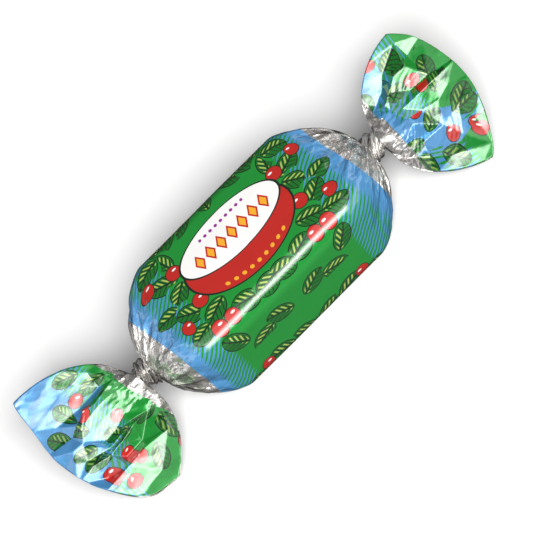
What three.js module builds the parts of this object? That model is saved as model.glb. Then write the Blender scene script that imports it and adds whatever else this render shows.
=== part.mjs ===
// A jelly candy in a shut twist wrapper, lying on its flat underside.
//
// The wrapper is one sheet of film, so the candy and its wrapper are one closed solid: a
// round-edged bar, a pleated shoulder at each end where the film draws in, a twisted neck,
// and a creased fan where the film's free end springs open again. Sections of the film's
// tube are joined from one fan's rim to the other's.
//
// Millimetres. +X runs along the candy and +Z is up. The origin is the middle of the flat
// face that the candy rests on.
import * as THREE from "three";

// Driving dimensions
const BAR = {
  width: 22.4,
  height: 15.4,
  edgeRadius: 3.2,
  crown: 0.45, // rise of the film over the middle of the top face
  straightHalf: 13.6, // from the middle to where a shoulder begins
};
const SHOULDER = {
  length: 9.6, // along X, from the straight part to the neck
  outline: 1.6, // exponent of the superellipse that its outline follows
  pleats: 11,
  pleatDepth: 0.07, // share of the section's size
};
const NECK = {
  innerRadius: 2.3,
  outerRadius: 1.5,
  length: 2.4,
  height: 7.9, // of its axis above the base
  twistTurns: 0.5,
  shareInShoulder: 0.25, // of the twist
  strands: 5,
  strandDepth: 0.14, // share of the neck's radius
};
const FAN = {
  openBy: 0.3, // share of the fan's length in which the round neck spreads flat
  steepest: 0.98, // sideways run of an edge thread for each mm of film, at the neck
  steepShare: 0.18, // of the fan's length, where an edge thread stays that steep
  foldsGrow: 0.85, // exponent of how the folds deepen towards the rim
};

// Each fan: its film length, the sideways run of its edge threads at the rim, the tilt of
// its plane about X, its lean within that plane, the share by which its film is longer at
// each edge, and its creases. A crease runs from the neck to the rim at a place from -1
// (front edge) to 1 (back edge); there the film's two layers stand rise above the fan's
// plane, and gap on either side of that.
const FANS = {
  right: {
    side: 1,
    length: 16.4,
    shallowest: 0.21,
    tilt: 28,
    lean: 7.8,
    edgeGrowth: { front: 0.08, back: 0 },
    creases: [
      { at: -1.0, rise: 0.2, gap: 0.28 },
      { at: -0.76, rise: -0.9, gap: 0.7 },
      { at: -0.48, rise: 1.1, gap: 1.0 },
      { at: -0.26, rise: -0.5, gap: 1.3 },
      { at: -0.05, rise: 0.9, gap: 1.4 },
      { at: 0.21, rise: -0.9, gap: 1.2 },
      { at: 0.43, rise: 0.8, gap: 1.1 },
      { at: 0.65, rise: -1.3, gap: 0.7 },
      { at: 1.0, rise: 1.0, gap: 0.28 },
    ],
  },
  left: {
    side: -1,
    length: 17.5,
    shallowest: 0.31,
    tilt: 25,
    lean: 13.4,
    edgeGrowth: { front: -0.11, back: 0.14 },
    creases: [
      { at: -1.0, rise: -0.2, gap: 0.28 },
      { at: -0.78, rise: 1.1, gap: 0.7 },
      { at: -0.57, rise: -0.8, gap: 0.9 },
      { at: -0.25, rise: 1.2, gap: 1.3 },
      { at: 0.1, rise: -1.1, gap: 1.2 },
      { at: 0.34, rise: 0.9, gap: 1.3 },
      { at: 0.6, rise: -0.6, gap: 0.9 },
      { at: 1.0, rise: 0.7, gap: 0.28 },
    ],
  },
};

// Facets of the solid
const STEPS = { fan: 12, neck: 7, shoulder: 9, bar: 12, across: 26 };

const { lerp, degToRad, smoothstep } = THREE.MathUtils;
const POINTS_ROUND = 2 * (STEPS.across + 1);

// A wave of straight ramps from -1 to 1 and back, with period 1.
const rampWave = (turns) => 4 * Math.abs(turns - Math.floor(turns + 0.5)) - 1;

// A rounded rectangle, as { y, z } from its middle. The share runs once round it at an even
// speed, from the middle of the -Y side, up and over the top.
function roundedSection(share, halfWidth, halfHeight, radius) {
  const corner = Math.min(radius, halfWidth, halfHeight);
  const arc = (corner * Math.PI) / 2;
  const upright = 2 * (halfHeight - corner);
  const level = 2 * (halfWidth - corner);
  const quarters = [
    [upright, arc],
    [level, arc],
    [upright, arc],
    [level, arc],
  ];
  let left = (((share % 1) + 1) % 1) * 2 * (upright + level + 2 * arc) + upright / 2;
  // The walk turns with the outline: it starts at the foot of the -Y side, heading up.
  const at = new THREE.Vector2(-halfWidth, -halfHeight + corner);
  const heading = new THREE.Vector2(0, 1);
  const inward = new THREE.Vector2(1, 0);
  const walked = new THREE.Vector2();
  for (let i = 0; ; i = (i + 1) % quarters.length) {
    const [straight, bend] = quarters[i];
    walked.copy(at).addScaledVector(heading, Math.min(left, straight));
    if (left <= straight) break;
    left -= straight;
    at.addScaledVector(heading, straight);
    const angle = Math.min(left, bend) / Math.max(corner, 1e-9);
    walked
      .copy(at)
      .addScaledVector(heading, corner * Math.sin(angle))
      .addScaledVector(inward, corner * (1 - Math.cos(angle)));
    if (left <= bend) break;
    left -= bend;
    at.addScaledVector(heading, corner).addScaledVector(inward, corner);
    [heading.x, heading.y, inward.x, inward.y] = [inward.x, inward.y, -heading.x, -heading.y];
  }
  return { y: walked.x, z: walked.y };
}

// The film over the bar itself. along is from -1 to 1 over the straight part.
function barPoint(along, share) {
  const { y, z } = roundedSection(share, BAR.width / 2, BAR.height / 2, BAR.edgeRadius);
  const across = Math.cos((Math.PI * y) / BAR.width);
  const lift = z > 0 ? BAR.crown * across * (z / (BAR.height / 2)) : 0;
  return new THREE.Vector3(along * BAR.straightHalf, y, z + BAR.height / 2 + lift);
}

// The shoulder, where the film draws in from the bar to the neck. out is 0 at the bar and 1
// at the neck.
function shoulderPoint(side, out, share) {
  const angle = (out * Math.PI) / 2;
  const x = BAR.straightHalf + SHOULDER.length * Math.sin(angle) ** (2 / SHOULDER.outline);
  const kept = Math.cos(angle) ** (2 / SHOULDER.outline);
  const pleat = rampWave(share * SHOULDER.pleats) * SHOULDER.pleatDepth * Math.sin(2 * angle);
  const size = 1 + pleat;
  const halfWidth = lerp(NECK.innerRadius, BAR.width / 2, kept) * size;
  const halfHeight = lerp(NECK.innerRadius, BAR.height / 2, kept) * size;
  const radius = lerp(halfHeight, BAR.edgeRadius, kept ** 0.7);
  const turned = share + side * NECK.twistTurns * NECK.shareInShoulder * out ** 3;
  const { y, z } = roundedSection(turned, halfWidth, halfHeight, radius);
  const axis = lerp(BAR.height / 2, NECK.height, 1 - kept);
  const across = Math.cos((Math.PI * y) / (2 * halfWidth));
  const lift = z > 0 ? BAR.crown * kept * across * (z / halfHeight) : 0;
  return new THREE.Vector3(side * x, y, Math.max(0, z + axis + lift));
}

// The frame of a fan at its neck: outward along it, across it and square to it. turned is
// how much of its tilt and lean has been reached.
function fanFrame(fan, turned) {
  const tilt = degToRad(fan.tilt * turned);
  const lean = degToRad(fan.lean * turned);
  const along = new THREE.Vector3(fan.side, 0, 0);
  const up = new THREE.Vector3(0, Math.cos(tilt), Math.sin(tilt));
  return {
    outward: along.clone().multiplyScalar(Math.cos(lean)).addScaledVector(up, -Math.sin(lean)),
    across: up.clone().multiplyScalar(Math.cos(lean)).addScaledVector(along, Math.sin(lean)),
    normal: new THREE.Vector3(0, -Math.sin(tilt), Math.cos(tilt)),
  };
}

// The twisted neck, whose strands follow the film round. out runs from 0 to 1 along it.
function neckPoint(fan, out, share) {
  const { across, normal } = fanFrame(fan, out);
  const twisted = lerp(NECK.shareInShoulder, 1, out) * NECK.twistTurns;
  const angle = 2 * Math.PI * (share + fan.side * twisted);
  const strands = Math.cos(2 * Math.PI * NECK.strands * share) * Math.sin(Math.PI * out);
  const radius = lerp(NECK.innerRadius, NECK.outerRadius, out) * (1 + NECK.strandDepth * strands);
  const x = BAR.straightHalf + SHOULDER.length + NECK.length * out;
  return new THREE.Vector3(fan.side * x, 0, NECK.height)
    .addScaledVector(across, -radius * Math.cos(angle))
    .addScaledVector(normal, radius * Math.sin(angle));
}

// An edge thread of the fan: how far it spreads sideways in a length of film, and its
// slope there, which stays at its steepest at first and then falls evenly.
function edgeThread(fan, length) {
  const steepLength = FAN.steepShare * fan.length;
  const fall = (fan.shallowest - FAN.steepest) / (fan.length - steepLength);
  const eased = Math.max(0, length - steepLength);
  return {
    steepLength,
    fall,
    slope: FAN.steepest + fall * eased,
    spread: FAN.steepest * length + (fall * eased * eased) / 2,
  };
}

// How far a film thread gets along the fan. It keeps its length, and it spreads sideways by
// place times what an edge thread does.
function threadRun(fan, length, place) {
  const share = Math.abs(place);
  if (share < 1e-3) return length;
  const { steepLength, fall, slope } = edgeThread(fan, length);
  const steepSlope = share * FAN.steepest;
  const steepRun = Math.min(length, steepLength) * Math.sqrt(1 - steepSlope * steepSlope);
  const arcArea = (sine) => (sine * Math.sqrt(1 - sine * sine) + Math.asin(sine)) / 2;
  return steepRun + (arcArea(share * slope) - arcArea(steepSlope)) / (share * fall);
}

// rise and gap at a place across the fan: straight between its creases.
function foldAt(fan, place) {
  const next = Math.max(1, fan.creases.findIndex((crease) => crease.at >= place - 1e-9));
  const [low, high] = [fan.creases[next - 1], fan.creases[next]];
  const share = (place - low.at) / (high.at - low.at);
  return { rise: lerp(low.rise, high.rise, share), gap: lerp(low.gap, high.gap, share) };
}

// The fan. out is 0 at the neck and 1 at the rim.
function fanPoint(fan, out, share) {
  const turned = (((share + fan.side * NECK.twistTurns) % 1) + 1) % 1;
  const round = { place: -Math.cos(2 * Math.PI * turned), height: Math.sin(2 * Math.PI * turned) };
  const layer = turned < 0.5 ? 1 : -1;
  const flatPlace = layer > 0 ? 4 * turned - 1 : 3 - 4 * turned;
  const opened = smoothstep(out, 0, FAN.openBy);
  const place = lerp(round.place, flatPlace, opened);
  const growth = place > 0 ? fan.edgeGrowth.back : fan.edgeGrowth.front;
  const length = out * fan.length * (1 + growth * place ** 4);
  const fold = foldAt(fan, place);
  const deepened = out ** FAN.foldsGrow;
  const layerHeight = lerp(NECK.outerRadius * round.height, layer * fold.gap, opened);
  const { outward, across, normal } = fanFrame(fan, 1);
  const x = BAR.straightHalf + SHOULDER.length + NECK.length;
  return new THREE.Vector3(fan.side * x, 0, NECK.height)
    .addScaledVector(outward, threadRun(fan, length, place))
    .addScaledVector(across, place * (NECK.outerRadius + edgeThread(fan, length).spread))
    .addScaledVector(normal, layerHeight + fold.rise * deepened * opened);
}

// The sections in order from the left fan's rim to the right fan's. Each is a function from
// the share round the film's tube to a point.
function filmSections() {
  const sections = [];
  const addSteps = (count, first, pointAt) => {
    for (let i = first; i <= count; i++) {
      sections.push((share) => pointAt(i / count, share));
    }
  };
  const { left, right } = FANS;
  addSteps(STEPS.fan, 0, (t, share) => fanPoint(left, 1 - t, share));
  addSteps(STEPS.neck, 1, (t, share) => neckPoint(left, 1 - t, share));
  addSteps(STEPS.shoulder, 1, (t, share) => shoulderPoint(-1, 1 - t, share));
  addSteps(STEPS.bar, 1, (t, share) => barPoint(2 * t - 1, share));
  addSteps(STEPS.shoulder, 1, (t, share) => shoulderPoint(1, t, share));
  addSteps(STEPS.neck, 1, (t, share) => neckPoint(right, t, share));
  addSteps(STEPS.fan, 1, (t, share) => fanPoint(right, t, share));
  return sections;
}

// A box with a grid on each face takes the film's shape: its X steps become the sections,
// its top face the film's upper half, its bottom face the lower half, and its side faces
// the strips between them. Its end faces close the fans' rims.
function wrappedCandyGeometry() {
  const sections = filmSections();
  const last = sections.length - 1;
  const geometry = new THREE.BoxGeometry(2, 2, 2, last, STEPS.across, 1);
  const position = geometry.getAttribute("position");
  for (let i = 0; i < position.count; i++) {
    const section = Math.round(((position.getX(i) + 1) / 2) * last);
    const column = Math.round(((position.getY(i) + 1) / 2) * STEPS.across);
    const upperShare = (column + 0.5) / POINTS_ROUND;
    const share = position.getZ(i) > 0 ? upperShare : 1 - upperShare;
    const point = sections[section](share);
    position.setXYZ(i, point.x, point.y, point.z);
  }
  geometry.computeVertexNormals();
  return geometry;
}

const wrappedCandy = new THREE.Mesh(
  wrappedCandyGeometry(),
  new THREE.MeshStandardMaterial({ color: 0x2a9640, roughness: 0.28, metalness: 0.35 }),
);
wrappedCandy.name = "wrapped_candy";

const candy = new THREE.Group();
candy.add(wrappedCandy);

export default candy;
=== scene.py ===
import math

import bmesh
import bpy
from bpy.props import FloatProperty, FloatVectorProperty, PointerProperty
from mathutils import Matrix, Vector, noise
from mathutils.bvhtree import BVHTree
from mathutils.geometry import delaunay_2d_cdt


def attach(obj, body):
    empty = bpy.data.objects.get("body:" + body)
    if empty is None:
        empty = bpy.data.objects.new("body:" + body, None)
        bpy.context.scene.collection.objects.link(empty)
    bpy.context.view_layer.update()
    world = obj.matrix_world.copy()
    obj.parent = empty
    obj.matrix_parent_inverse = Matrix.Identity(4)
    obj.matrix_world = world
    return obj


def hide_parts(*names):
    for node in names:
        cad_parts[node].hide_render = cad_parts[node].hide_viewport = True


bl_info = {
    "name": "Twist-Wrapped Candy",
    "version": (1, 0),
    "blender": (4, 5, 0),
    "location": "3D View > Sidebar > Candy",
    "description": "A jelly candy in a shut twist wrapper of printed foil film",
    "category": "Object",
}

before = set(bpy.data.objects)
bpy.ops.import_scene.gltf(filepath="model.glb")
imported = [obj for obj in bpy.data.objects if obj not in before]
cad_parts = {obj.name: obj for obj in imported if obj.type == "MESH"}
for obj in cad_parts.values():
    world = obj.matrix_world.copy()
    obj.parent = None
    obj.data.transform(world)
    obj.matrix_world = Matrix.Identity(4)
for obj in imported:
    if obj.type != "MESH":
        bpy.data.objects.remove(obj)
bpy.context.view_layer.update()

MM = 0.001
NODE = "wrapped_candy"


# ---- Sizes and colours ----


def distance(name, description, millimetres):
    """A length that the user can change, with its default in millimetres."""
    return FloatProperty(
        name=name, description=description, default=millimetres * MM,
        min=0.0, precision=5, subtype="DISTANCE", unit="LENGTH",
    )


def angle(name, description, degrees):
    """An angle that the user can change, with its default in degrees."""
    return FloatProperty(
        name=name, description=description, default=math.radians(degrees),
        subtype="ANGLE", unit="ROTATION",
    )


def share(name, description, value):
    """A plain number that the user can change."""
    return FloatProperty(name=name, description=description, default=value)


def colour(name, description, red, green, blue):
    """A colour that the user can change, as linear red, green and blue."""
    return FloatVectorProperty(
        name=name, description=description, default=(red, green, blue),
        size=3, min=0.0, max=1.0, subtype="COLOR",
    )


class BarSizes(bpy.types.PropertyGroup):
    """The film over the bar, its shoulders and its necks."""

    width: distance("Width", "Across the wrapped bar", 22.4)
    height: distance("Height", "Of the wrapped bar", 15.4)
    edge_radius: distance("Edge Radius", "Round the bar's long edges", 3.2)
    crown: distance("Crown", "Rise of the film over the middle of the top", 0.45)
    straight_half: distance("Straight Half", "From the middle to where a shoulder begins", 13.6)
    shoulder_length: distance("Shoulder Length", "Along X, from the straight part to the neck", 9.6)
    shoulder_film: distance("Shoulder Film", "Length of film that a shoulder takes", 12.5)
    shoulder_outline: share("Shoulder Outline", "Exponent of the superellipse it follows", 1.6)
    neck_inner_radius: distance("Inner Neck Radius", "Where the shoulder ends", 2.3)
    neck_outer_radius: distance("Outer Neck Radius", "Where the fan begins", 1.5)
    neck_length: distance("Neck Length", "From the shoulder to the fan", 2.4)
    neck_height: distance("Neck Height", "Of the neck's axis above the base", 7.9)
    twist: angle("Twist", "Of each neck, from the bar to the fan", 180)
    print_end: distance("Print End", "Film length from the middle to the end of the print", 19.4)


def fan_sizes(film, rim_slope, tilt, lean, front_growth, back_growth):
    """The properties of a fan, with these defaults."""
    longer = "Share by which the {} edge is longer".format
    return {
        "film": distance("Film", "Film length from the neck to the rim", film),
        "rim_slope": share("Rim Slope", "Sideways run of an edge thread at the rim", rim_slope),
        "tilt": angle("Tilt", "Of the fan's plane about X", tilt),
        "lean": angle("Lean", "Of the fan within its plane, towards the front", lean),
        "front_growth": share("Front Growth", longer("front"), front_growth),
        "back_growth": share("Back Growth", longer("back"), back_growth),
    }


class RightFanSizes(bpy.types.PropertyGroup):
    """The fan at the +X end."""

    __annotations__ = fan_sizes(
        film=16.4, rim_slope=0.21, tilt=28, lean=7.8, front_growth=0.08, back_growth=0.0
    )


class LeftFanSizes(bpy.types.PropertyGroup):
    """The fan at the -X end."""

    __annotations__ = fan_sizes(
        film=17.5, rim_slope=0.31, tilt=25, lean=13.4, front_growth=-0.11, back_growth=0.14
    )


class PrintColours(bpy.types.PropertyGroup):
    """The inks on the film."""

    green: colour("Green", "Field over the middle of the wrapper", 0.012, 0.27, 0.035)
    blue: colour("Blue", "Field at the ends of the print", 0.08, 0.28, 0.56)
    leaf: colour("Leaf", "Body of a leaf", 0.01, 0.16, 0.02)
    vein: colour("Vein", "Pale strokes on a leaf", 0.45, 0.55, 0.12)
    ink: colour("Ink", "Dark outline of leaves, berries and plaque", 0.012, 0.02, 0.012)
    berry: colour("Berry", "Berries and the band beside the plaque", 0.52, 0.022, 0.016)
    white: colour("White", "Bare plaque and highlights", 0.93, 0.92, 0.9)
    gold: colour("Gold", "Ornament on the plaque", 0.9, 0.42, 0.03)
    violet: colour("Violet", "Dots on the plaque", 0.3, 0.03, 0.3)
    silver: colour("Silver", "Unprinted foil", 0.86, 0.82, 0.78)


class StudioSizes(bpy.types.PropertyGroup):
    """The camera and the floor."""

    elevation: angle("Elevation", "Of the camera above the floor, from the front side", 52)
    roll: angle("Roll", "Of the camera, which turns the candy's length in the picture", 45)
    lens: FloatProperty(name="Lens", description="Focal length", default=180.0, unit="CAMERA")
    floor_width: distance("Floor Width", "Side of the square floor", 3000)


# ---- The film's shape ----


def lerp(start, end, t):
    return start + (end - start) * t


def smooth(t, low=0.0, high=1.0):
    """0 below low and 1 above high, with a smooth step between."""
    t = min(1.0, max(0.0, (t - low) / (high - low)))
    return t * t * (3 - 2 * t)


def ramp_wave(turns):
    """Straight ramps from -1 to 1 and back, with period 1."""
    return 4 * abs(turns - math.floor(turns + 0.5)) - 1


SKEW = (math.sqrt(3) - 1) / 2


def creased(x, y, seed):
    """Height of a creased sheet, from -1 to 1: flat triangles between random corners."""
    shift = (x + y) * SKEW
    x += shift
    y += shift
    column = math.floor(x)
    row = math.floor(y)
    dx = x - column
    dy = y - row

    def corner(right, up):
        return noise.cell(Vector((column + right + 0.5, row + up + 0.5, seed + 0.5)))

    if dx > dy:
        return corner(0, 0) * (1 - dx) + corner(1, 0) * (dx - dy) + corner(1, 1) * dy
    return corner(0, 0) * (1 - dy) + corner(0, 1) * (dy - dx) + corner(1, 1) * dx


def crumple(run, across, seed, steps):
    """Sum of creased sheets. Each step gives a facet's length and width and its height."""
    total = 0.0
    for i, (length, width, height) in enumerate(steps):
        turned = 0.7 * i
        bend = 0.35 * noise.noise(Vector((run / length, across / width, seed)))
        x = run / length + bend
        y = across / width - bend
        c = math.cos(turned)
        s = math.sin(turned)
        total += height * creased(x * c - y * s, x * s + y * c, seed + 7 * i)
    return total


def rounded_section(place, half_width, half_height, radius):
    """A point (y, z) of a rounded rectangle and the outward direction there. The place runs
    once round it at an even speed, from the middle of the -Y side up and over the top."""
    corner = min(radius, half_width, half_height)
    upright = half_height - corner
    level = half_width - corner
    arc = corner * math.pi / 2
    quarters, past = divmod((place % 1.0) * 4, 1.0)
    if quarters in (1, 3):
        past = 1 - past
    walked = past * (upright + arc + level)
    if walked < upright:
        point = (half_width, walked)
        out = (1.0, 0.0)
    elif walked < upright + arc:
        bend = (walked - upright) / corner
        out = (math.cos(bend), math.sin(bend))
        point = (level + corner * out[0], upright + corner * out[1])
    else:
        point = (level - (walked - upright - arc), half_height)
        out = (0.0, 1.0)
    side = -1 if quarters in (0, 3) else 1
    top = 1 if quarters < 2 else -1
    return Vector((0, side * point[0], top * point[1])), Vector((0, side * out[0], top * out[1]))


RIGHT = 1
LEFT = -1
TOP_PLACE = 0.25  # the middle of the top face, as a share of the film's way round
STEEPEST = 0.98  # sideways run of a fan's edge thread for each mm of film, at the neck
STEEP_SHARE = 0.18  # of the fan's film, where an edge thread stays that steep
OPEN_BY = 0.3  # share of the fan's film in which the round neck spreads flat
TWIST_IN_SHOULDER = 0.25  # share of the neck's twist that the shoulder already has
FULLY_GATHERED = 0.75  # share of a shoulder in which its film becomes gathered
ROOMY = 6.0 * MM  # half height of a shoulder that its pleats need for their full height
PLEATS = 15  # round a shoulder
PLEAT_HEIGHTS = (0.25, 0.55)  # mm, where a shoulder begins and at the neck
STRANDS = 6  # round a neck
STRAND_HEIGHT = 0.28  # as a share of the neck's radius
NECK_ROUND = 14.0  # mm of film round a neck, for its crumple
FAN_DRIFT = 1.3 * MM  # that a fan's threads stray sideways
EDGE_GAP = 0.28  # mm, half the gap between a fan's two layers at its edges
LOOSE_GAP = 0.6  # mm more than that, where the layers crumple each in its own way
OWN_SHARE = 0.7  # of a loose layer's crumple that is its own
SEEDS = {RIGHT: (3, 5, 11), LEFT: (40, 60, 80)}  # for crumples of shoulder, neck and fan

# Half the gap between a fan's two layers, from its front edge to its back edge: the place
# from -1 to 1 and the half gap in mm.
FAN_GAPS = {
    RIGHT: (
        (-1.0, EDGE_GAP), (-0.76, 0.7), (-0.48, 1.0), (-0.26, 1.3), (-0.05, 1.4), (0.21, 1.2),
        (0.43, 1.1), (0.65, 0.7), (1.0, EDGE_GAP),
    ),
    LEFT: (
        (-1.0, EDGE_GAP), (-0.78, 0.7), (-0.57, 0.9), (-0.25, 1.3), (0.1, 1.2), (0.34, 1.3),
        (0.6, 0.9), (1.0, EDGE_GAP),
    ),
}

# The corners of each fan's large folds, in mm: away from the neck, sideways from the neck
# (+ towards the back), and how far the film stands out of the fan's plane.
FAN_FOLDS = {
    RIGHT: (
        (-3, 0, 0), (0, 3, 0.1), (0, -4, 0),
        (2, 6.5, -0.3), (6.3, 9.6, 0), (12.5, 12.5, 0.4), (12, 9, 0),
        (2.8, 3.9, -1.1), (5.6, 5.2, -1.2), (7.5, 6.9, -0.8), (12.2, 6.3, -0.8), (16, 7, -0.3),
        (4.1, 2.9, 0.3), (5.9, 3.9, 0.5), (8.4, 5.3, 0.7), (10.6, 5.2, 0.6),
        (4.4, 2, -0.1), (8.6, 1.9, -0.3), (12.4, 1.7, -0.5), (17, 0.6, -0.3),
        (5.6, 0.6, 0.7), (7.8, 0.5, 0.7), (9.8, 0.5, 0.7), (12.4, 0.5, 0.4),
        (13.2, -1.6, -0.1), (15.8, -2.4, -0.2), (12.2, -4.8, 0.3), (17, -5, 0.2),
        (7.6, -1.6, 0), (10.6, -2.2, -0.3), (5.2, -2.2, 0.7), (8.5, -5.4, -0.4),
        (4.4, -5.2, 0), (9.6, -8.6, -0.5), (12.6, -8.0, 0.5), (3.6, -7.4, -0.5),
        (2, -10, 0.3), (6, -9.6, 0.6), (11.5, -12.5, 0.3), (5, -15.5, 0.3), (10.5, -17, 0.6),
    ),
    LEFT: (
        (-3, 0, 0), (0, 3, 0.3), (0.6, -5, -0.5),
        (2.5, 7, 0.5), (9, 11, 1.3), (15.5, 12.5, 1.6), (18.5, 9, 0.9),
        (5, 6.4, 0.7), (8, 6.8, 0.4), (13, 6.4, 0.3), (16.8, 5.6, 0.1),
        (2.8, 2.7, 0.9), (5.2, 3.6, -0.4), (9.8, 3.3, -0.5), (14, 3.6, -0.5),
        (7.3, 1.8, 1.2), (11.2, 0.9, 1.0), (9.3, 2.3, 1.3),
        (5.2, -2.3, 0), (7.8, -3.2, 0), (10, -3.5, 0), (14.3, -3.5, -0.1), (15.9, -2.4, 0.2),
        (12.8, -1.1, 0.5), (2.4, -4.1, -0.8), (5.5, -3.4, -1.1), (8.2, -4.1, -1.2),
        (10.4, -4.3, -1.1), (5.4, -4.5, 0.5), (8.2, -5.2, 0.6), (11, -5.4, 0.5),
        (14, -4.6, 0.1), (18, -5, -0.2), (13.6, 0.9, -0.6), (15.6, 1.6, -0.4), (15, -0.8, 0.3),
        (18.6, 1.4, -0.4), (18.6, -2, -0.9), (6.2, -6.9, -0.7), (9.6, -7.1, -0.8),
        (13.8, -7.4, -0.8), (6.4, -8.2, 0.7), (10.2, -8.6, 0.8), (14.8, -8.8, 0.5),
        (17.5, -9.5, 0.2), (2, -8.5, 0.2), (2, -13, 0.4), (6.8, -12.4, 0.2), (11.6, -13, -0.2),
        (3.5, -17, 0.9), (9.5, -17, 0.2),
    ),
}
FOLD_HEIGHT = 1.25  # multiplies the heights above

# The laps of each fan, from its front edge to its back edge. The film folds over itself
# between them, so that the print jumps there. For each: the turn of its print in degrees,
# how far from the neck in mm its green field begins, and its back edge, as places like the
# corners above.
FAN_LAPS = {
    RIGHT: (
        (-50, 1.5, ((0, -5), (5, -7), (8.3, -9), (13, -8.3), (17, -8))),
        (-30, 9.0, ((0, -0.5), (7.4, -1.4), (12, -4.8), (17, -5))),
        (-8, 2.0, ((0, 1), (4.4, 2), (8.6, 1.8), (12.4, 1.5), (17, 0.6))),
        (20, 1.0, ((0, 2.6), (2.8, 3.7), (5.7, 5.2), (7.6, 7.2), (12.4, 5.9), (16, 7))),
        (42, 5.0, None),
    ),
    LEFT: (
        (-55, 18.0, ((0, -5), (5.9, -7.6), (10, -9.4), (15, -9.5))),
        (-28, 15.0, ((0, -2.5), (2.4, -4.3), (5.5, -3.3), (8.2, -4), (10.4, -4.2),
                     (15, -3.2), (18.6, -1.5))),
        (-2, 13.0, ((0, 1.5), (2.8, 2.7), (7.3, 1.6), (9.5, 2.2), (13.6, 0.9), (18.6, 1.4))),
        (30, 12.0, None),
    ),
}

# Bundles of fine parallel creases in each fan: the middle, the reach, the direction in
# degrees, the spacing and the height.
FAN_BUNDLES = {
    RIGHT: ((9.0, -5.4, 5.0, 45, 0.8, 0.022), (4.2, -4.0, 3.5, 45, 0.6, 0.02),
            (7.6, 3.8, 4.0, 30, 1.0, 0.03)),
    LEFT: ((17.0, 11.0, 2.5, 10, 0.7, 0.05), (11.0, 1.2, 2.4, -35, 0.9, 0.03)),
}

# Facets of the crumpled film: length and width along and across the film, and height, in mm
BAR_DENTS = ((9.0, 5.0, 0.06), (4.0, 2.2, 0.02))
SHOULDER_CRUMPLE = ((3.4, 2.4, 0.42), (1.5, 1.2, 0.22), (0.7, 0.6, 0.09))
NECK_CRUMPLE = ((1.4, 2.2, 0.3), (0.6, 1.0, 0.16))
FAN_CRUMPLE = ((3.6, 3.2, 0.1), (1.6, 1.4, 0.03))
GATHERED_CRUMPLE = ((1.8, 1.2, 0.9), (0.8, 0.6, 0.5))  # of a fan at its neck
GATHERED_FADE = 8  # power by which that one fades towards the rim


def on_line(points, x):
    """The height at x of a line through points that are in order."""
    for low, high in zip(points, points[1:]):
        if x <= high[0]:
            break
    return lerp(low[1], high[1], (x - low[0]) / (high[0] - low[0]))


class FoldedNet:
    """A sheet of flat triangles between given corners."""

    def __init__(self, corners):
        flat = [Vector((along, sideways)) for along, sideways, _ in corners]
        places, _, faces, origins, *_ = delaunay_2d_cdt(flat, [], [], 0, 1e-6)
        heights = [corners[origin[0]][2] for origin in origins]
        points = [(*place, height) for place, height in zip(places, heights)]
        self.tree = BVHTree.FromPolygons(points, faces)

    def height(self, along, sideways):
        hit = self.tree.ray_cast(Vector((along, sideways, 50.0)), Vector((0, 0, -1)))[0]
        return hit.z if hit else 0.0


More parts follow.
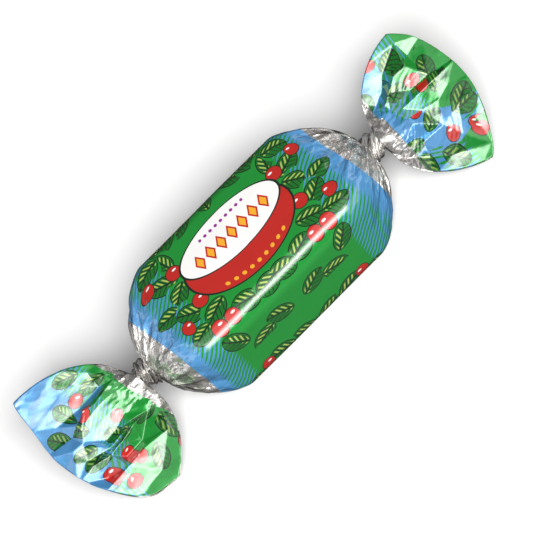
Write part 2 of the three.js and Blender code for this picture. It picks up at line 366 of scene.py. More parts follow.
class Film:
    """Places on the wrapper's film, and where they lie in space."""

    def __init__(self, bar, fans):
        self.bar = bar
        self.fans = fans
        self.nets = {side: FoldedNet(corners) for side, corners in FAN_FOLDS.items()}
        self.round = self.girth()
        self.neck_run = bar.straight_half + bar.shoulder_film
        self.fan_run = self.neck_run + bar.neck_length
        self.fan_x = bar.straight_half + bar.shoulder_length + bar.neck_length

    def girth(self):
        """Length of film once round the bar."""
        bar = self.bar
        corner = bar.edge_radius
        return 2 * (bar.width + bar.height) - 8 * corner + 2 * math.pi * corner

    def body_point(self, run, place):
        """Where the film lies between the fans. run is the film length from the middle."""
        side = RIGHT if run > 0 else LEFT
        past = abs(run) - self.bar.straight_half
        if past > self.bar.shoulder_film:
            return self.neck_point(side, (abs(run) - self.neck_run) / self.bar.neck_length, place)
        return self.bar_point(side, run, max(0.0, past / self.bar.shoulder_film), place)

    def bar_point(self, side, run, out, place):
        """On the bar, or on its shoulder, where out grows from 0 to 1 at the neck."""
        bar = self.bar
        bend = out * math.pi / 2
        kept = math.cos(bend) ** (2 / bar.shoulder_outline)
        half_width = lerp(bar.neck_inner_radius, bar.width / 2, kept)
        half_height = lerp(bar.neck_inner_radius, bar.height / 2, kept)
        radius = lerp(half_height, bar.edge_radius, kept**0.7)
        turned = place + side * bar.twist / math.tau * TWIST_IN_SHOULDER * out**3
        point, outward = rounded_section(turned, half_width, half_height, radius)
        if point.z > 0:
            arch = math.cos(math.pi * point.y / (2 * half_width))
            point.z += bar.crown * kept * arch * point.z / half_height
        point += outward * self.body_relief(side, run, out, place, half_height)
        point.z = max(0.0, point.z + lerp(bar.neck_height, bar.height / 2, kept))
        if out > 0:
            reach = math.sin(bend) ** (2 / bar.shoulder_outline)
            point.x = side * (bar.straight_half + bar.shoulder_length * reach)
        else:
            point.x = run
        return point

    def body_relief(self, side, run, out, place, half_height):
        """How far the film stands out on the bar and its shoulders."""
        across = place * self.round / MM
        along = run / MM
        seed = SEEDS[side][0]
        height = crumple(along, across, seed, BAR_DENTS)
        if out > 0:
            gathered = smooth(out, 0.0, FULLY_GATHERED) * min(1.0, half_height / ROOMY)
            wander = 0.5 * noise.noise(Vector((across / 5, along / 9, seed)))
            pleats = lerp(*PLEAT_HEIGHTS, out) * ramp_wave(place * PLEATS + wander)
            height += gathered * (pleats + crumple(along, across, seed, SHOULDER_CRUMPLE))
        return height * MM

    def neck_point(self, side, out, place):
        """On the twisted neck, where out runs from 0 to 1."""
        bar = self.bar
        turned = place + side * bar.twist / math.tau * lerp(TWIST_IN_SHOULDER, 1, out)
        bend = math.tau * turned
        along = out * bar.neck_length / MM
        strands = STRAND_HEIGHT * ramp_wave(STRANDS * place) * math.sin(math.pi * out) ** 0.5
        radius = lerp(bar.neck_inner_radius, bar.neck_outer_radius, out) * (1 + strands)
        radius += crumple(along, place * NECK_ROUND, SEEDS[side][1], NECK_CRUMPLE) * MM
        _, across, normal = self.fan_axes(side, out)
        start = Vector((side * (self.fan_x - bar.neck_length * (1 - out)), 0, bar.neck_height))
        return start - across * radius * math.cos(bend) + normal * radius * math.sin(bend)

    def fan_axes(self, side, turned):
        """Directions along a fan, across it and square to it, for a share of its full turn."""
        tilt = self.fans[side].tilt * turned
        lean = self.fans[side].lean * turned
        along = Vector((side, 0, 0))
        up = Vector((0, math.cos(tilt), math.sin(tilt)))
        outward = along * math.cos(lean) - up * math.sin(lean)
        across = up * math.cos(lean) + along * math.sin(lean)
        return outward, across, Vector((0, -math.sin(tilt), math.cos(tilt)))

    def easing(self, fan):
        """Film length at which the fan's edge threads begin to ease, and their change of slope
        for each length of film after that."""
        steep = STEEP_SHARE * fan.film
        return steep, (fan.rim_slope - STEEPEST) / (fan.film - steep)

    def edge_thread(self, fan, length):
        """How far an edge thread of the fan has spread sideways, and how steeply it runs."""
        steep, fall = self.easing(fan)
        eased = max(0.0, length - steep)
        return STEEPEST * length + fall * eased**2 / 2, STEEPEST + fall * eased

    def thread_run(self, fan, length, place):
        """How far a thread gets along the fan: it keeps its length as it spreads."""
        spread = abs(place)
        if spread < 1e-3:
            return length
        steep, fall = self.easing(fan)
        slope = spread * self.edge_thread(fan, length)[1]
        start = spread * STEEPEST
        steep_run = min(length, steep) * math.sqrt(1 - start * start)
        return steep_run + (arc_area(slope) - arc_area(start)) / (spread * fall)

    def fan_point(self, side, out, place):
        """On the fan, where out runs from 0 at the neck to 1 at the rim, and place from 0 to 1
        round the film: over the top layer from the front edge, and back under it."""
        layer = 1 if place % 1.0 < 0.5 else -1
        opened = smooth(out, 0.0, OPEN_BY)
        on_neck = math.tau * place
        across_place = lerp(-math.cos(on_neck), across_fan(place % 1.0, layer), opened)
        own, flat = self.fan_flat(side, out, across_place)
        gap = on_line(FAN_GAPS[side], across_place) * MM
        round_height = self.bar.neck_outer_radius * math.sin(on_neck)
        height = lerp(round_height, layer * gap, opened)
        height += self.fan_relief(side, out, flat, layer, gap) * opened
        outward, across, normal = self.fan_axes(side, 1)
        point = Vector((side * self.fan_x, 0, self.bar.neck_height))
        point += outward * own.x + across * own.y + normal * height
        point.z = max(0.2 * MM, point.z)
        return point

    def lap(self, side, flat):
        """The lap of a fan's film that a place on its plane lies in: its number from the
        front, the turn of its print, and where its green field begins."""
        for number, (turn, green_start, back_edge) in enumerate(FAN_LAPS[side]):
            if back_edge is None or flat.y < on_line(back_edge, flat.x):
                return number, math.radians(turn), green_start

    def bundles(self, side, flat):
        """Height of a fan's fine parallel creases."""
        total = 0.0
        for along, sideways, reach, bearing, spacing, height in FAN_BUNDLES[side]:
            offset = flat - Vector((along, sideways))
            fade = smooth(1.3 * (1 - offset.length / reach))
            if fade > 0:
                turned = Matrix.Rotation(-math.radians(bearing), 2) @ offset
                wander = noise.noise(Vector((turned.x / 4, turned.y / 2, along)))
                total += fade * height * ramp_wave(turned.y / spacing + wander)
        return total

    def fan_relief(self, side, out, flat, layer, gap):
        """How far a fan's film stands out of its plane at flat, a place in mm from the neck.
        Both layers share the large folds, and each has its own crumples where it is loose."""
        seed = SEEDS[side][2]
        loose = min(1.0, max(0.0, (gap / MM - EDGE_GAP) / LOOSE_GAP))
        shared = crumple(*flat, seed, FAN_CRUMPLE)
        own = crumple(*flat, seed + 31 * layer, FAN_CRUMPLE)
        gathered = crumple(*flat, seed + 3, GATHERED_CRUMPLE) * (1 - out) ** GATHERED_FADE
        folds = FOLD_HEIGHT * self.nets[side].height(*flat) + self.bundles(side, flat)
        return (folds + gathered + lerp(shared, own, OWN_SHARE * loose)) * MM

    def fan_flat(self, side, out, place):
        """A place on the fan's plane in mm, away from the neck and sideways from it, and the
        same place along the fan's own axes."""
        fan = self.fans[side]
        growth = fan.back_growth if place > 0 else fan.front_growth
        length = out * fan.film * (1 + growth * place**4)
        reach = self.thread_run(fan, length, place)
        spread = self.bar.neck_outer_radius + self.edge_thread(fan, length)[0]
        stray = FAN_DRIFT * noise.noise(Vector((out * 3, place * 2.5, side + 5.5)))
        sideways = place * spread + stray * smooth(1 - place * place, 0.0, 0.4) * out
        own = Vector((reach, sideways))
        turned = Matrix.Rotation(-fan.lean, 2) @ own / MM
        return own, turned


def across_fan(place, layer):
    """Turns a place round a fan's film to a place across the fan, from -1 to 1."""
    return 4 * place - 1 if layer > 0 else 3 - 4 * place


def arc_area(sine):
    """Antiderivative of sqrt(1 - sine**2)."""
    return (sine * math.sqrt(1 - sine * sine) + math.asin(sine)) / 2


def film_of(scene):
    return Film(scene.candy_bar, {RIGHT: scene.candy_right_fan, LEFT: scene.candy_left_fan})


# ---- Meshes ----

FILM_UV = "Film"  # where the motifs of the print fall
ZONE_UV = "Zones"  # how far into the print, and how far into its green field
BAKE_UV = "OFBake"
UV_SPAN = 0.1  # metres of film for one unit of the first two maps
SEAM_PLACE = 0.64  # where the film's long edges meet, under the back edge


def rolled_sheet(columns, rows, point_at, print_on):
    """A bmesh of a flat sheet, rolled to a tube. Its vertices move from x and y on the flat
    sheet, from 0 to 1, to point_at(x, y). print_on(middle), for the middle of a face, gives
    the function that turns a corner's x and y into the print's places there."""
    sheet = bmesh.new()
    for name in (FILM_UV, ZONE_UV, BAKE_UV):
        sheet.loops.layers.uv.new(name)
    film_map, zone_map, bake_map = sheet.loops.layers.uv.values()
    bmesh.ops.create_grid(sheet, x_segments=columns, y_segments=rows, size=0.5)
    for face in sheet.faces:
        face.smooth = True
        print_at = print_on(face.calc_center_median().xy + Vector((0.5, 0.5)))
        for loop in face.loops:
            x = loop.vert.co.x + 0.5
            y = loop.vert.co.y + 0.5
            motif, zone = print_at(x, y)
            loop[film_map].uv = Vector((0.5, 0.5)) + motif / UV_SPAN
            loop[zone_map].uv = Vector((0.5, 0.5)) + zone / UV_SPAN
            loop[bake_map].uv = (0.01 + 0.98 * x, 0.01 + 0.98 * y)
    for vert in sheet.verts:
        vert.co = point_at(vert.co.x + 0.5, vert.co.y + 0.5)
    bmesh.ops.remove_doubles(sheet, verts=sheet.verts, dist=1e-7)
    return sheet


def finish_piece(name, sheet, *materials):
    """Makes the piece of a bmesh, on the CAD body and in place of the CAD node."""
    mesh = bpy.data.meshes.new(name)
    sheet.to_mesh(mesh)
    sheet.free()
    for material in materials:
        mesh.materials.append(material)
    piece = bpy.data.objects.new(name, mesh)
    bpy.context.scene.collection.objects.link(piece)
    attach(piece, "root")
    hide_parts(NODE)
    return piece


BODY_GRID = (250, 300)
PRINT_SKEW = 1.3 * MM  # how far the print's ends lean, towards +X on the front side
SKEW_PLACE = 0.03  # share of the film's way round, before the front's middle, of most lean
BAR_COLUMNS = 0.2  # share of the body's columns on the straight bar


def make_body(scene):
    film = film_of(scene)
    straight = scene.candy_bar.straight_half
    print_end = scene.candy_bar.print_end

    def run_and_place(x, y):
        centred = 2 * x - 1
        if abs(centred) < BAR_COLUMNS:
            run = straight * centred / BAR_COLUMNS
        else:
            past = (abs(centred) - BAR_COLUMNS) / (1 - BAR_COLUMNS)
            run = math.copysign(lerp(straight, film.fan_run, past), centred)
        return run, SEAM_PLACE - 1 + y

    def print_at(x, y):
        run, place = run_and_place(x, y)
        slack = smooth(abs(run), straight, print_end)
        run -= PRINT_SKEW * slack * math.cos(math.tau * (place + SKEW_PLACE))
        inside = print_end - abs(run)
        across = (place - TOP_PLACE) * film.round
        return Vector((run, across)), Vector((inside, inside))

    def point_at(x, y):
        return film.body_point(*run_and_place(x, y))

    sheet = rolled_sheet(*BODY_GRID, point_at, lambda middle: print_at)
    bmesh.ops.holes_fill(sheet, edges=sheet.edges)
    bmesh.ops.recalc_face_normals(sheet, faces=sheet.faces)
    return finish_piece("wrapper_body", sheet, printed_film(scene))


FAN_GRID = (110, 330)
FAN_COLUMNS_CROWD = 1.25  # more than 1 puts more of a fan's columns near its neck
FAN_PRINT_RUN = 30.0 * MM  # film length from the middle at which a fan's print begins
FAN_PRINT_START = {RIGHT: (2.5, 0.07), LEFT: (2.0, 0.25)}  # mm, and more for each mm back
GREEN_SENSE = {RIGHT: 1, LEFT: -1}  # 1 where the green lies beyond its start, -1 before it
LAP_SHIFT = 4.3 * MM  # of the print round the film, from one lap to the next
PRINT_STEP = 0.3  # mm, the most by which the print's start moves from lap to lap
FOLD_KINK = Vector((0.4, 1.2))  # how far the print moves where a fold stands up by 1
FILM_THICKNESS = 0.05 * MM


def make_fan(scene, side):
    film = film_of(scene)
    start, more = FAN_PRINT_START[side]

    def flat_at(x, y, layer):
        return film.fan_flat(side, x**FAN_COLUMNS_CROWD, across_fan(y, layer))[1]

    def print_on(middle):
        # Each lap shows its film at its true size, and hides the rest in its fold.
        layer = 1 if middle.y < 0.5 else -1
        number, turn, green_start = film.lap(side, flat_at(*middle, layer))
        around = number * LAP_SHIFT * layer
        begins = start - PRINT_STEP * math.sin(5 * number)
        unturned = Matrix.Rotation(-turn, 2)

        def print_at(x, y):
            flat = flat_at(x, y, layer)
            inside = flat.x - begins - more * flat.y
            into_green = (flat.x - green_start) * GREEN_SENSE[side]
            kink = FOLD_KINK * film.nets[side].height(*flat)
            on_print = unturned @ (flat + kink) * MM
            motif = Vector((side * (FAN_PRINT_RUN + on_print.x), around + on_print.y))
            return motif, Vector((inside, into_green)) * MM

        return print_at

    def point_at(x, y):
        # A layer's edge falls on the sheet's edge, so that the fold there is sharp.
        return film.fan_point(side, x**FAN_COLUMNS_CROWD, y)

    sheet = rolled_sheet(*FAN_GRID, point_at, print_on)
    if side == LEFT:
        bmesh.ops.reverse_faces(sheet, faces=sheet.faces)
    name = "right_fan" if side == RIGHT else "left_fan"
    piece = finish_piece(name, sheet, printed_film(scene), bare_film(scene))
    shell = piece.modifiers.new("Film thickness", "SOLIDIFY")
    shell.thickness = FILM_THICKNESS
    shell.offset = -1.0
    shell.material_offset = 1
    shell.use_quality_normals = False
    return piece


# ---- Materials ----


class Wire:
    """A shader socket. Arithmetic on wires adds Math nodes."""

    def __init__(self, socket):
        self.socket = socket
        self.tree = socket.id_data

    @staticmethod
    def node(tree, kind, settings=None, inputs=None, output=0):
        """Adds a shader node: its settings first, then its inputs, each a wire or a value.
        Returns a wire from one of its outputs, if it has any."""
        made = tree.nodes.new("ShaderNode" + kind)
        for name, value in (settings or {}).items():
            setattr(made, name, value)
        for key, value in (inputs or {}).items():
            if isinstance(value, Wire):
                tree.links.new(value.socket, made.inputs[key])
            else:
                made.inputs[key].default_value = value
        return Wire(made.outputs[output]) if made.outputs else None

    def maths(self, operation, first, second=0.0):
        settings = {"operation": operation}
        return Wire.node(self.tree, "Math", settings, {0: first, 1: second})

    def __add__(self, other):
        return self.maths("ADD", self, other)

    def __radd__(self, other):
        return self.maths("ADD", other, self)

    def __sub__(self, other):
        return self.maths("SUBTRACT", self, other)

    def __rsub__(self, other):
        return self.maths("SUBTRACT", other, self)

    def __mul__(self, other):
        return self.maths("MULTIPLY", self, other)

    def __truediv__(self, other):
        return self.maths("DIVIDE", self, other)

    def __pow__(self, other):
        return self.maths("POWER", self, other)

    def __mod__(self, other):
        return self.maths("FLOORED_MODULO", self, other)

    def __lt__(self, other):
        return self.maths("LESS_THAN", self, other)

    def __gt__(self, other):
        return self.maths("GREATER_THAN", self, other)

    def __abs__(self):
        return self.maths("ABSOLUTE", self)

    def at_least(self, other):
        return self.maths("MAXIMUM", self, other)

    def in_period(self, period):
        """How far it is from the middle of its period."""
        return (self + period / 2) % period - period / 2

    def step(self, low, high):
        """0 at low and 1 at high, smoothly."""
        inputs = {"Value": self, "From Min": low, "From Max": high}
        settings = {"interpolation_type": "SMOOTHSTEP", "clamp": True}
        return Wire.node(self.tree, "MapRange", settings, inputs)

    def paint(self, below, above):
        """Mixes two colours: below where this wire is 0 and above where it is 1."""
        settings = {"data_type": "RGBA", "clamp_factor": True}
        inputs = {0: self, 6: shader_colour(below), 7: shader_colour(above)}
        return Wire.node(self.tree, "Mix", settings, inputs, output=2)


def shader_colour(value):
    return value if isinstance(value, Wire) else (*value, 1.0)


def material_once(name, inputs_of, *args):
    """The material of that name. The first time, it is made with the surface's inputs that
    inputs_of(tree, *args) gives."""
    if name in bpy.data.materials:
        return bpy.data.materials[name]
    material = bpy.data.materials.new(name)
    material.use_nodes = True
    tree = material.node_tree
    tree.nodes.clear()
    surface = Wire.node(tree, "BsdfPrincipled", {}, inputs_of(tree, *args))
    Wire.node(tree, "OutputMaterial", {}, {"Surface": surface})
    return material


# Leaves and berries of the body's print, mirrored about the middle: how far along the film
# and how far round it from the top, in mm, the turn in degrees and the size.
BODY_LEAVES = (
    (0.0, 9.9, 90, 0.85), (2.7, 11.8, 15, 1.0), (5.2, 9.6, -35, 0.95), (7.1, 12.3, 20, 1.05),
    (9.0, 9.4, -20, 1.05), (11.9, 10.6, 35, 1.0), (10.9, 6.4, 75, 0.95), (13.6, 7.4, -15, 1.0),
    (13.2, 3.2, 20, 1.05), (12.3, -0.3, -40, 0.95), (15.9, -1.8, 15, 0.95),
    (13.0, -4.2, 30, 1.05), (9.9, -7.0, -25, 1.0), (14.0, -8.4, -15, 0.95),
    (5.6, -9.4, 15, 1.0), (1.6, -9.9, -10, 0.95), (11.0, -13.2, 50, 1.0), (3.4, -15.6, 25, 1.0),
    (7.4, -17.0, -20, 1.0),
)
BODY_BERRIES = (
    (9.9, 12.6, 0.95), (15.6, 4.9, 1.0), (10.6, 3.6, 1.05), (14.9, -5.9, 1.0),
    (10.4, -3.6, 1.05), (8.6, -9.6, 1.0), (11.2, -9.6, 1.05),
)
FAN_LEAVES = (
    (4.6, 1.6, 25, 0.85), (7.6, -3.4, -40, 0.9), (8.6, 5.2, 60, 0.85), (11.8, -1.2, -10, 0.9),
    (13.8, 6.4, 28, 0.9), (12.6, -6.8, 42, 0.85),
)
FAN_BERRIES = ((6.4, 7.3, 0.9), (10.2, -5.4, 1.0), (11.2, 2.0, 0.9), (15.0, 3.2, 1.0))
LEAF_HALF_LENGTH = 2.55
BERRY_RADIUS = 1.4
PERIOD = 35.05  # of the print round the film, in mm: half the way round the bar
FANS_FROM = 29.0  # mm of film from the middle
FAR = 9.0  # motif units, where nothing of a motif shows
HATCH_SLANT = 1.28  # mm along the film for each mm round it
HATCH_PITCH = 0.85  # hatch lines for each mm along the film
FADED_STROKES = 0.45  # share by which the pale strokes of leaves fade on the fans
FAN_FOIL_PAINTED_SHADE = 0.7  # painted shade: the fans' bare foil is drawn darker than the body's, as a share of the silver

# Ovals of the plaque: half length, half width and middle, in mm along and round the film
WHITE_OVAL = (10.2, 4.6, 1.9)
RED_OVAL = (10.6, 6.9, -0.6)


class FilmPrint:
    """The print on the film, drawn in millimetres of film."""

    def __init__(self, tree, inks):
        self.tree = tree
        self.inks = inks
        self.film = self.map_in_mm(FILM_UV)
        self.run, self.across = self.split(self.film)
        self.along = abs(self.run)
        self.inside, self.into_green = self.split(self.map_in_mm(ZONE_UV))
        self.round = self.across.in_period(PERIOD)
        self.in_fan = self.along > FANS_FROM
        self.on_body = 1 - self.in_fan
        self.silver = self.inside < 0.0
        self.plaque_shape = self.oval(*WHITE_OVAL)

    def map_in_mm(self, name):
        """A map of the film, in mm from its middle."""
        place = Wire.node(self.tree, "UVMap", {"uv_map": name})
        centre = {0: place, 1: (0.5, 0.5, 0.0)}
        place = Wire.node(self.tree, "VectorMath", {"operation": "SUBTRACT"}, centre)
        inputs = {0: place, "Scale": UV_SPAN / MM}
        return Wire.node(self.tree, "VectorMath", {"operation": "SCALE"}, inputs)

    def vector(self, x, y):
        return Wire.node(self.tree, "CombineXYZ", {}, {0: x, 1: y})

    def split(self, vector):
        return [
            Wire.node(self.tree, "SeparateXYZ", {}, {0: vector}, output=i)
            for i in range(2)
        ]

    def oval(self, half_length, half_width, centre):
        """Grows from 0 at an oval's middle to 1 at its rim. Large on the fans."""
        x = self.along / half_length
        y = (self.round - centre) / half_width
        return (x * x + y * y) ** 0.5 + self.in_fan * FAR

    def nearest_motif(self, place, motifs, size):
        """Coordinates in the last motif that covers the place, or far outside if none does.
        A motif is one unit from its middle to its tip."""
        found = self.vector(FAR, FAR)
        for along, round_, *turn, scale in motifs:
            reach = size * scale
            inputs = {
                "Vector": place,
                "Location": (along, round_, 0.0),
                "Rotation": (0.0, 0.0, math.radians(turn[0]) if turn else 0.0),
                "Scale": (reach, reach, 1.0),
            }
            settings = {"vector_type": "TEXTURE"}
            local = Wire.node(self.tree, "Mapping", settings, inputs)
            settings = {"operation": "LENGTH"}
            away = Wire.node(self.tree, "VectorMath", settings, {0: local}, output=1)
            inputs = {0: away < 1.0, 4: found, 5: local}
            settings = {"data_type": "VECTOR"}
            found = Wire.node(self.tree, "Mix", settings, inputs, output=1)
        return found

    def background(self):
        """Blue at the print's ends, which turns green by a diagonal hatch."""
        inks = self.inks
        lines = (self.run - self.across * HATCH_SLANT) * HATCH_PITCH
        hatch = abs(lines % 1.0 - 0.5) * 2
        share = (self.into_green.step(1.6, 3.0) + self.into_green.step(6.4, 8.0)) * 0.45
        share = share + self.into_green.step(1.6, 8.0) * 0.2
        green = (share - hatch).step(-0.06, 0.06)
        return green.paint(inks.blue, inks.green)

    def draw_leaf(self, below, x, y):
        """A pointed leaf with a dark outline and veins, and pale strokes between them."""
        inks = self.inks
        half = (1 - x * x).at_least(0.0) ** 0.6 * 0.66
        inside = half - abs(y)
        painted = (inside > 0.0).paint(below, inks.ink)
        painted = (inside > 0.075).paint(painted, inks.leaf)
        slant = (x * 2.6 - abs(y) * 2.6) % 1.0
        veins = (slant < 0.2) * (inside > 0.12)
        painted = veins.paint(painted, inks.ink)
        strokes = (slant > 0.42) * (slant < 0.78) * (inside > 0.2) * (abs(y) > 0.1)
        shown = (strokes * (y > x * 0.3)) * (1 - self.in_fan * FADED_STROKES)
        painted = shown.paint(painted, inks.vein)
        midrib = (abs(y) < 0.045) * (inside > 0.1)
        return midrib.paint(painted, inks.ink)

    def draw_berry(self, below, x, y):
        """A round berry with a dark outline and a white highlight."""
        inks = self.inks
        away = (x * x + y * y) ** 0.5
        painted = (away < 0.97).paint(below, inks.ink)
        painted = (away < 0.87).paint(painted, inks.berry)
        bright = ((x + 0.28) * (x + 0.28) * 0.5 + (y - 0.34) * (y - 0.34) * 2.2) ** 0.5
        return (bright < 0.19).paint(painted, inks.white)

    def motifs(self, below, place, leaves, berries):
        leaf = self.nearest_motif(place, leaves, LEAF_HALF_LENGTH)
        berry = self.nearest_motif(place, berries, BERRY_RADIUS)
        return self.draw_berry(self.draw_leaf(below, *self.split(leaf)), *self.split(berry))

    def plaque(self, below):
        """A white oval over a red one that shows on the front side, with plain ornament:
        a row of lozenges between two rows of dots."""
        inks = self.inks
        red = self.oval(*RED_OVAL)
        painted = (red < 1.0).paint(below, inks.ink)
        painted = (red < 0.965).paint(painted, inks.berry)
        beads = self.dots(1.45, 6.4, -6.1 + self.along * self.along * 0.03, 0.36)
        painted = beads.paint(painted, inks.gold)
        painted = (self.plaque_shape < 1.0).paint(painted, inks.ink)
        painted = (self.plaque_shape < 0.96).paint(painted, inks.white)
        from_corner = abs(self.run.in_period(2.2)) / 0.95 + abs(self.round - 1.3) / 1.7
        row = (self.along < 7.7) * self.on_body
        painted = ((from_corner < 1.0) * row).paint(painted, inks.berry)
        painted = ((from_corner < 0.66) * row).paint(painted, inks.gold)
        return self.dots(1.1, 4.6, 4.5, 0.3).paint(painted, inks.violet)

    def dots(self, spacing, half_length, height, radius):
        """A row of dots along the film, at a height round it."""
        x = self.run.in_period(spacing)
        y = self.round - height
        row = (self.along < half_length) * self.on_body
        return ((x * x + y * y) ** 0.5 < radius) * row

    def colour(self):
        ground = self.background()
        body_place = self.vector(self.along, self.round)
        body = self.motifs(ground, body_place, BODY_LEAVES, BODY_BERRIES)
        fan_round = self.across.in_period(PERIOD / 2)
        fan_place = self.vector(self.along - FAN_PRINT_RUN / MM, fan_round)
        fan = self.motifs(ground, fan_place, FAN_LEAVES, FAN_BERRIES)
        painted = self.plaque(self.in_fan.paint(body, fan))
        silver = self.inks.silver
        # Painted shade: the bare foil on the fans is drawn darker than the same foil on the body.
        foil = self.in_fan.paint(silver, shaded(silver, FAN_FOIL_PAINTED_SHADE))
        return self.silver.paint(painted, foil)


def shaded(tone, shade):
    return tuple(shade * value for value in tone)


FINE_CREASES = ((2.4, 0.3), (1.0, 0.16))  # size in mm, and slope


def creases(tree, film, amount):
    """A bump of fine creases, for a film in millimetres."""
    height = amount * 0.0
    for size, slope in FINE_CREASES:
        inputs = {"Vector": film, "Scale": 1 / size}
        cells = Wire.node(tree, "TexVoronoi", {"feature": "F1"}, inputs)
        height = height + cells * (size * slope)
    return Wire.node(tree, "Bump", {}, {"Distance": MM, "Height": height * amount})


def between(tree, factor, start, end):
    """A number that goes from start to end with a factor."""
    return Wire.node(tree, "Mix", {"data_type": "FLOAT"}, {0: factor, 2: start, 3: end})


def printed_film_inputs(tree, inks):
    drawn = FilmPrint(tree, inks)
    opaque = drawn.plaque_shape < 1.0

    def by_place(on_body, on_fans, on_silver):
        inked = between(tree, drawn.in_fan, on_body, on_fans)
        return between(tree, drawn.silver, inked, on_silver)

    crumpled = drawn.along.step(14.0, 20.0) * by_place(0.8, 0.3, 1.5)
    return {
        "Base Color": drawn.colour(),
        "Metallic": between(tree, opaque, by_place(0.1, 0.3, 0.82), 0.05),
        "Roughness": between(tree, drawn.silver, 0.26, 0.2),
        "Specular IOR Level": 0.0,  # the coat has all the gloss
        "Normal": creases(tree, drawn.film, crumpled),
        "Coat Weight": between(tree, drawn.in_fan, 0.8, 0.65),
        "Coat IOR": 2.6,
        "Coat Roughness": 0.15,
    }


def bare_film_inputs(tree, inks):
    film = Wire.node(tree, "UVMap", {"uv_map": FILM_UV})
    cloudy = Wire.node(tree, "TexNoise", {}, {"Vector": film, "Scale": 90.0})
    return {
        "Base Color": cloudy.paint(inks.silver, shaded(inks.silver, 0.86)),
        "Metallic": 1.0,
        "Roughness": 0.18 + cloudy * 0.12,
    }


def printed_film(scene):
    """The film's printed side: clear bright inks over metal, under a gloss."""
    return material_once("film_print_side", printed_film_inputs, scene.candy_print)


def bare_film(scene):
    """The film's unprinted side."""
    return material_once("film_bare_side", bare_film_inputs, scene.candy_print)


# ---- Studio ----

FLOOR_COLOUR = (0.9, 0.9, 0.895)
FLOOR_SHADE = (0.04, 0.04, 0.04)  # of the floor, in reflections and for the light it returns
BACKDROP_SHADE = (0.95, 0.95, 0.95)
FILL_SHADE = (0.13, 0.13, 0.13)  # of the light from all round on dull surfaces

# What the gloss and the foil mirror: a dim room with bright patches at the candy's ends, and
# panels above it, each over the one before. A panel runs from one height to another, in
# degrees from the front horizon up over the top, and has its shade.
ROOM_SHADE = (0.06, 0.06, 0.06)
SIDE_SHADE = (1.0, 1.0, 1.0)
PANELS = (
    (94, 160, (0.06, 0.06, 0.06)),
    (62, 94, (0.5, 0.5, 0.5)),
    (32, 60, (2.8, 2.8, 2.8)),
    (41, 51, (6.5, 6.5, 6.5)),
)
PANEL_EDGE = math.radians(4)
KEY_ELEVATION = math.radians(46)  # of the softbox, from the front side
KEY_AWAY = 1.8  # metres from the candy
KEY_SIZE = (1.7, 0.9)  # metres
KEY_POWER = 64  # watts
PIXELS_PER_METRE = 6600  # scale of the picture at the candy
PICTURE_PIXELS = 546
SENSOR = 36.0  # mm
AIM = Vector((0.0, 0.0, 7.7 * MM))  # the bar's middle
AIM_OFFSET = 12.5  # pixels that the bar's middle lies left of and above the picture's


def floor_inputs(tree):
    places = Wire.node(tree, "TexCoord", {}, output=3)
    grain = Wire.node(tree, "TexNoise", {}, {"Vector": places, "Scale": 40.0})
    seen = Wire.node(tree, "LightPath", {}, output=0)
    pale = grain.paint(FLOOR_COLOUR, shaded(FLOOR_COLOUR, 0.985))
    return {"Base Color": seen.paint(FLOOR_SHADE, pale), "Roughness": 0.6}


def make_floor(scene):
    """A floor that is pale to the eye, and returns no more light than a dark one."""
    width = scene.candy_studio.floor_width
    floor_mesh = bmesh.new()
    bmesh.ops.create_grid(floor_mesh, x_segments=1, y_segments=1, size=width / 2)
    mesh = bpy.data.meshes.new("floor")
    floor_mesh.to_mesh(mesh)
    floor_mesh.free()
    mesh.materials.append(material_once("floor", floor_inputs))
    floor = bpy.data.objects.new("floor", mesh)
    scene.collection.objects.link(floor)


def from_front(elevation):
    """Turn of a lamp or camera that looks at the candy from the front side, from that height."""
    return Matrix.Rotation(math.pi / 2 - elevation, 3, "X")


def stand(scene, item, turn, target, away):
    """Stands a lamp or camera that far from the target it looks at."""
    item.matrix_world = Matrix.Translation(target + turn.col[2] * away) @ turn.to_4x4()
    scene.collection.objects.link(item)


def make_softbox(scene):
    """A rectangular light that faces the candy from the front side. The gloss mirrors the
    world's panels in its place."""
    light = bpy.data.lights.new("front_softbox", "AREA")
    light.shape = "RECTANGLE"
    light.size, light.size_y = KEY_SIZE
    light.energy = KEY_POWER
    box = bpy.data.objects.new("front_softbox", light)
    box.visible_glossy = False
    stand(scene, box, from_front(KEY_ELEVATION), AIM, KEY_AWAY)


def make_world(scene):
    """A pale backdrop to the eye, an even fill on dull surfaces, and the room's panels in
    reflections."""
    world = bpy.data.worlds.new("studio")
    world.use_nodes = True
    tree = world.node_tree
    tree.nodes.clear()
    direction = Wire.node(tree, "TexCoord", {}, output=0)
    x, y, z = (
        Wire.node(tree, "SeparateXYZ", {}, {0: direction}, output=i) for i in range(3)
    )
    aside = abs(x)
    patches = Wire.node(tree, "TexNoise", {}, {"Vector": direction, "Scale": 3.0})
    lit = aside.step(0.3, 0.6) * patches.step(0.46, 0.54)
    room = lit.paint(ROOM_SHADE, SIDE_SHADE)
    turn = z.maths("ARCTAN2", z, 0.0 - y)
    for low, high, shade in PANELS:
        above = turn.step(math.radians(low) - PANEL_EDGE, math.radians(low) + PANEL_EDGE)
        below = turn.step(math.radians(high) + PANEL_EDGE, math.radians(high) - PANEL_EDGE)
        inside = above * below * aside.step(0.62, 0.5)
        room = inside.paint(room, shade)
    seen = Wire.node(tree, "LightPath", {}, output=0)
    glossy = Wire.node(tree, "LightPath", {}, output=3)
    shown = seen.paint(glossy.paint(FILL_SHADE, room), BACKDROP_SHADE)
    light = Wire.node(tree, "Background", {}, {"Color": shown, "Strength": 1.0})
    Wire.node(tree, "OutputWorld", {}, {"Surface": light})
    scene.world = world


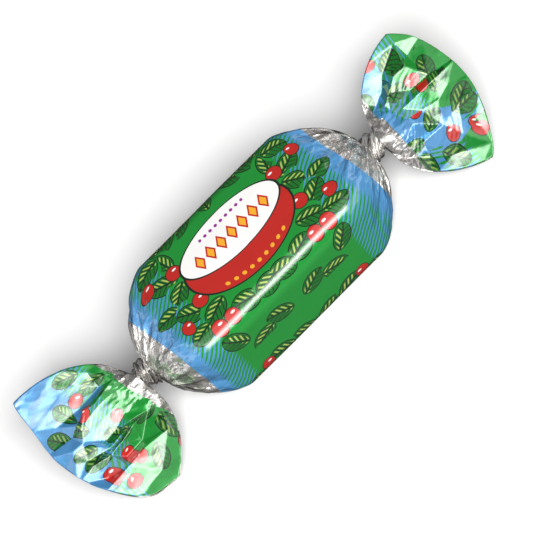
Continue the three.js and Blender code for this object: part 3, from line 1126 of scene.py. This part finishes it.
def make_camera(scene):
    studio = scene.candy_studio
    camera_data = bpy.data.cameras.new("camera")
    camera_data.lens = studio.lens
    camera_data.sensor_width = SENSOR
    camera_data.clip_start = 0.01
    camera_data.clip_end = 20.0
    turn = from_front(studio.elevation) @ Matrix.Rotation(-studio.roll, 3, "Z")
    right, up, _ = turn.col
    target = AIM + (right - up) * (AIM_OFFSET / PIXELS_PER_METRE)
    away = PICTURE_PIXELS * studio.lens / SENSOR / PIXELS_PER_METRE
    scene.camera = bpy.data.objects.new("camera", camera_data)
    stand(scene, scene.camera, turn, target, away)


# ---- Operators and panel ----


class CANDY_OT_body(bpy.types.Operator):
    """Make the film over the bar, with its shoulders and twisted necks"""

    bl_idname = "candy.body"
    bl_label = "Wrapper Body"

    def execute(self, context):
        make_body(context.scene)
        return {"FINISHED"}


class CANDY_OT_fans(bpy.types.Operator):
    """Make the creased fan at each end"""

    bl_idname = "candy.fans"
    bl_label = "Fans"

    def execute(self, context):
        for side in (RIGHT, LEFT):
            make_fan(context.scene, side)
        return {"FINISHED"}


class CANDY_OT_studio(bpy.types.Operator):
    """Make the floor, the lights and the camera"""

    bl_idname = "candy.studio"
    bl_label = "Studio"

    def execute(self, context):
        scene = context.scene
        make_floor(scene)
        make_softbox(scene)
        make_world(scene)
        make_camera(scene)
        scene.view_settings.view_transform = "Standard"
        return {"FINISHED"}


class CANDY_PT_panel(bpy.types.Panel):
    """Lists the candy's pieces and sizes"""

    bl_label = "Twist-Wrapped Candy"
    bl_idname = "CANDY_PT_panel"
    bl_space_type = "VIEW_3D"
    bl_region_type = "UI"
    bl_category = "Candy"

    def draw(self, context):
        layout = self.layout
        for group in GROUPS:
            box = layout.box()
            settings = getattr(context.scene, group)
            for name in settings.__annotations__:
                box.prop(settings, name)
        for operator in OPERATORS:
            layout.operator(operator.bl_idname)


GROUPS = {
    "candy_bar": BarSizes,
    "candy_right_fan": RightFanSizes,
    "candy_left_fan": LeftFanSizes,
    "candy_print": PrintColours,
    "candy_studio": StudioSizes,
}
OPERATORS = (CANDY_OT_body, CANDY_OT_fans, CANDY_OT_studio)


def register():
    for group, settings in GROUPS.items():
        bpy.utils.register_class(settings)
        setattr(bpy.types.Scene, group, PointerProperty(type=settings))
    for operator in OPERATORS:
        bpy.utils.register_class(operator)
    bpy.utils.register_class(CANDY_PT_panel)


def unregister():
    bpy.utils.unregister_class(CANDY_PT_panel)
    for operator in reversed(OPERATORS):
        bpy.utils.unregister_class(operator)
    for group, settings in reversed(GROUPS.items()):
        delattr(bpy.types.Scene, group)
        bpy.utils.unregister_class(settings)


def main():
    register()
    bpy.ops.candy.body()
    bpy.ops.candy.fans()
    bpy.ops.candy.studio()


if __name__ == "__main__":
    main()
